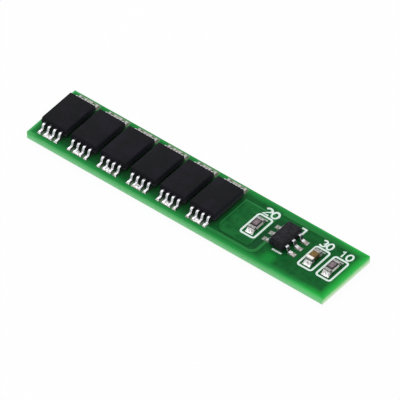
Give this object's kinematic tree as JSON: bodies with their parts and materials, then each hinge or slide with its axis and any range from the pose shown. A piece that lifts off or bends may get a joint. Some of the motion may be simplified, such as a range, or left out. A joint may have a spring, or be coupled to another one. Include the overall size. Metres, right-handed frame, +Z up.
{
  "type": "battery management board",
  "caption": "Narrow protection board for one lithium cell: a row of dual switch packages, a controller and chip parts on a green laminate, with tinned lands beneath.",
  "frame": {"origin": "middle of the underside, in the plane of the four tinned lands that the board lies on", "axes": "+X along the board from the switch row to the resistor end, +Y to the back edge, +Z up out of the component side"},
  "size_m": [0.0346, 0.007, 0.002],
  "materials": {
    "green_board": "glossy green solder mask over copper on glass laminate",
    "white_print": "flat white ink",
    "tinned_land": "tinned copper, satin",
    "solder": "bright solder, smooth and slightly uneven",
    "tinned_lead": "bright tin over copper strip",
    "chip_terminal": "matt tin over nickel",
    "white_ceramic": "fired white alumina",
    "black_glass": "glazed black overcoat",
    "tan_ceramic": "fired tan ceramic, satin",
    "black_moulding": "black epoxy moulding with a fine matt grain"
  },
  "bodies": {
    "root": {"circuit_board": "green_board", "component_lands": "tinned_land", "silkscreen": "white_print", "battery_negative_land": "tinned_land", "output_negative_land": "tinned_land", "battery_positive_land": "tinned_land", "output_positive_land": "tinned_land", "mosfet_body_1": "black_moulding", "mosfet_body_2": "black_moulding", "mosfet_body_3": "black_moulding", "mosfet_body_4": "black_moulding", "mosfet_body_5": "black_moulding", "mosfet_body_6": "black_moulding", "mosfet_leads_1": "tinned_lead", "mosfet_leads_2": "tinned_lead", "mosfet_leads_3": "tinned_lead", "mosfet_leads_4": "tinned_lead", "mosfet_leads_5": "tinned_lead", "mosfet_leads_6": "tinned_lead", "mosfet_solder_1": "solder", "mosfet_solder_2": "solder", "mosfet_solder_3": "solder", "mosfet_solder_4": "solder", "mosfet_solder_5": "solder", "mosfet_solder_6": "solder", "controller_body": "black_moulding", "controller_leads": "tinned_lead", "controller_solder": "solder", "resistor_1_ceramic": "white_ceramic", "resistor_1_overcoat": "black_glass", "resistor_1_terminals": "chip_terminal", "resistor_1_solder": "solder", "resistor_2_ceramic": "white_ceramic", "resistor_2_overcoat": "black_glass", "resistor_2_terminals": "chip_terminal", "resistor_2_solder": "solder", "capacitor_body": "tan_ceramic", "capacitor_terminals": "chip_terminal", "capacitor_solder": "solder"}
  },
  "joints": []
}
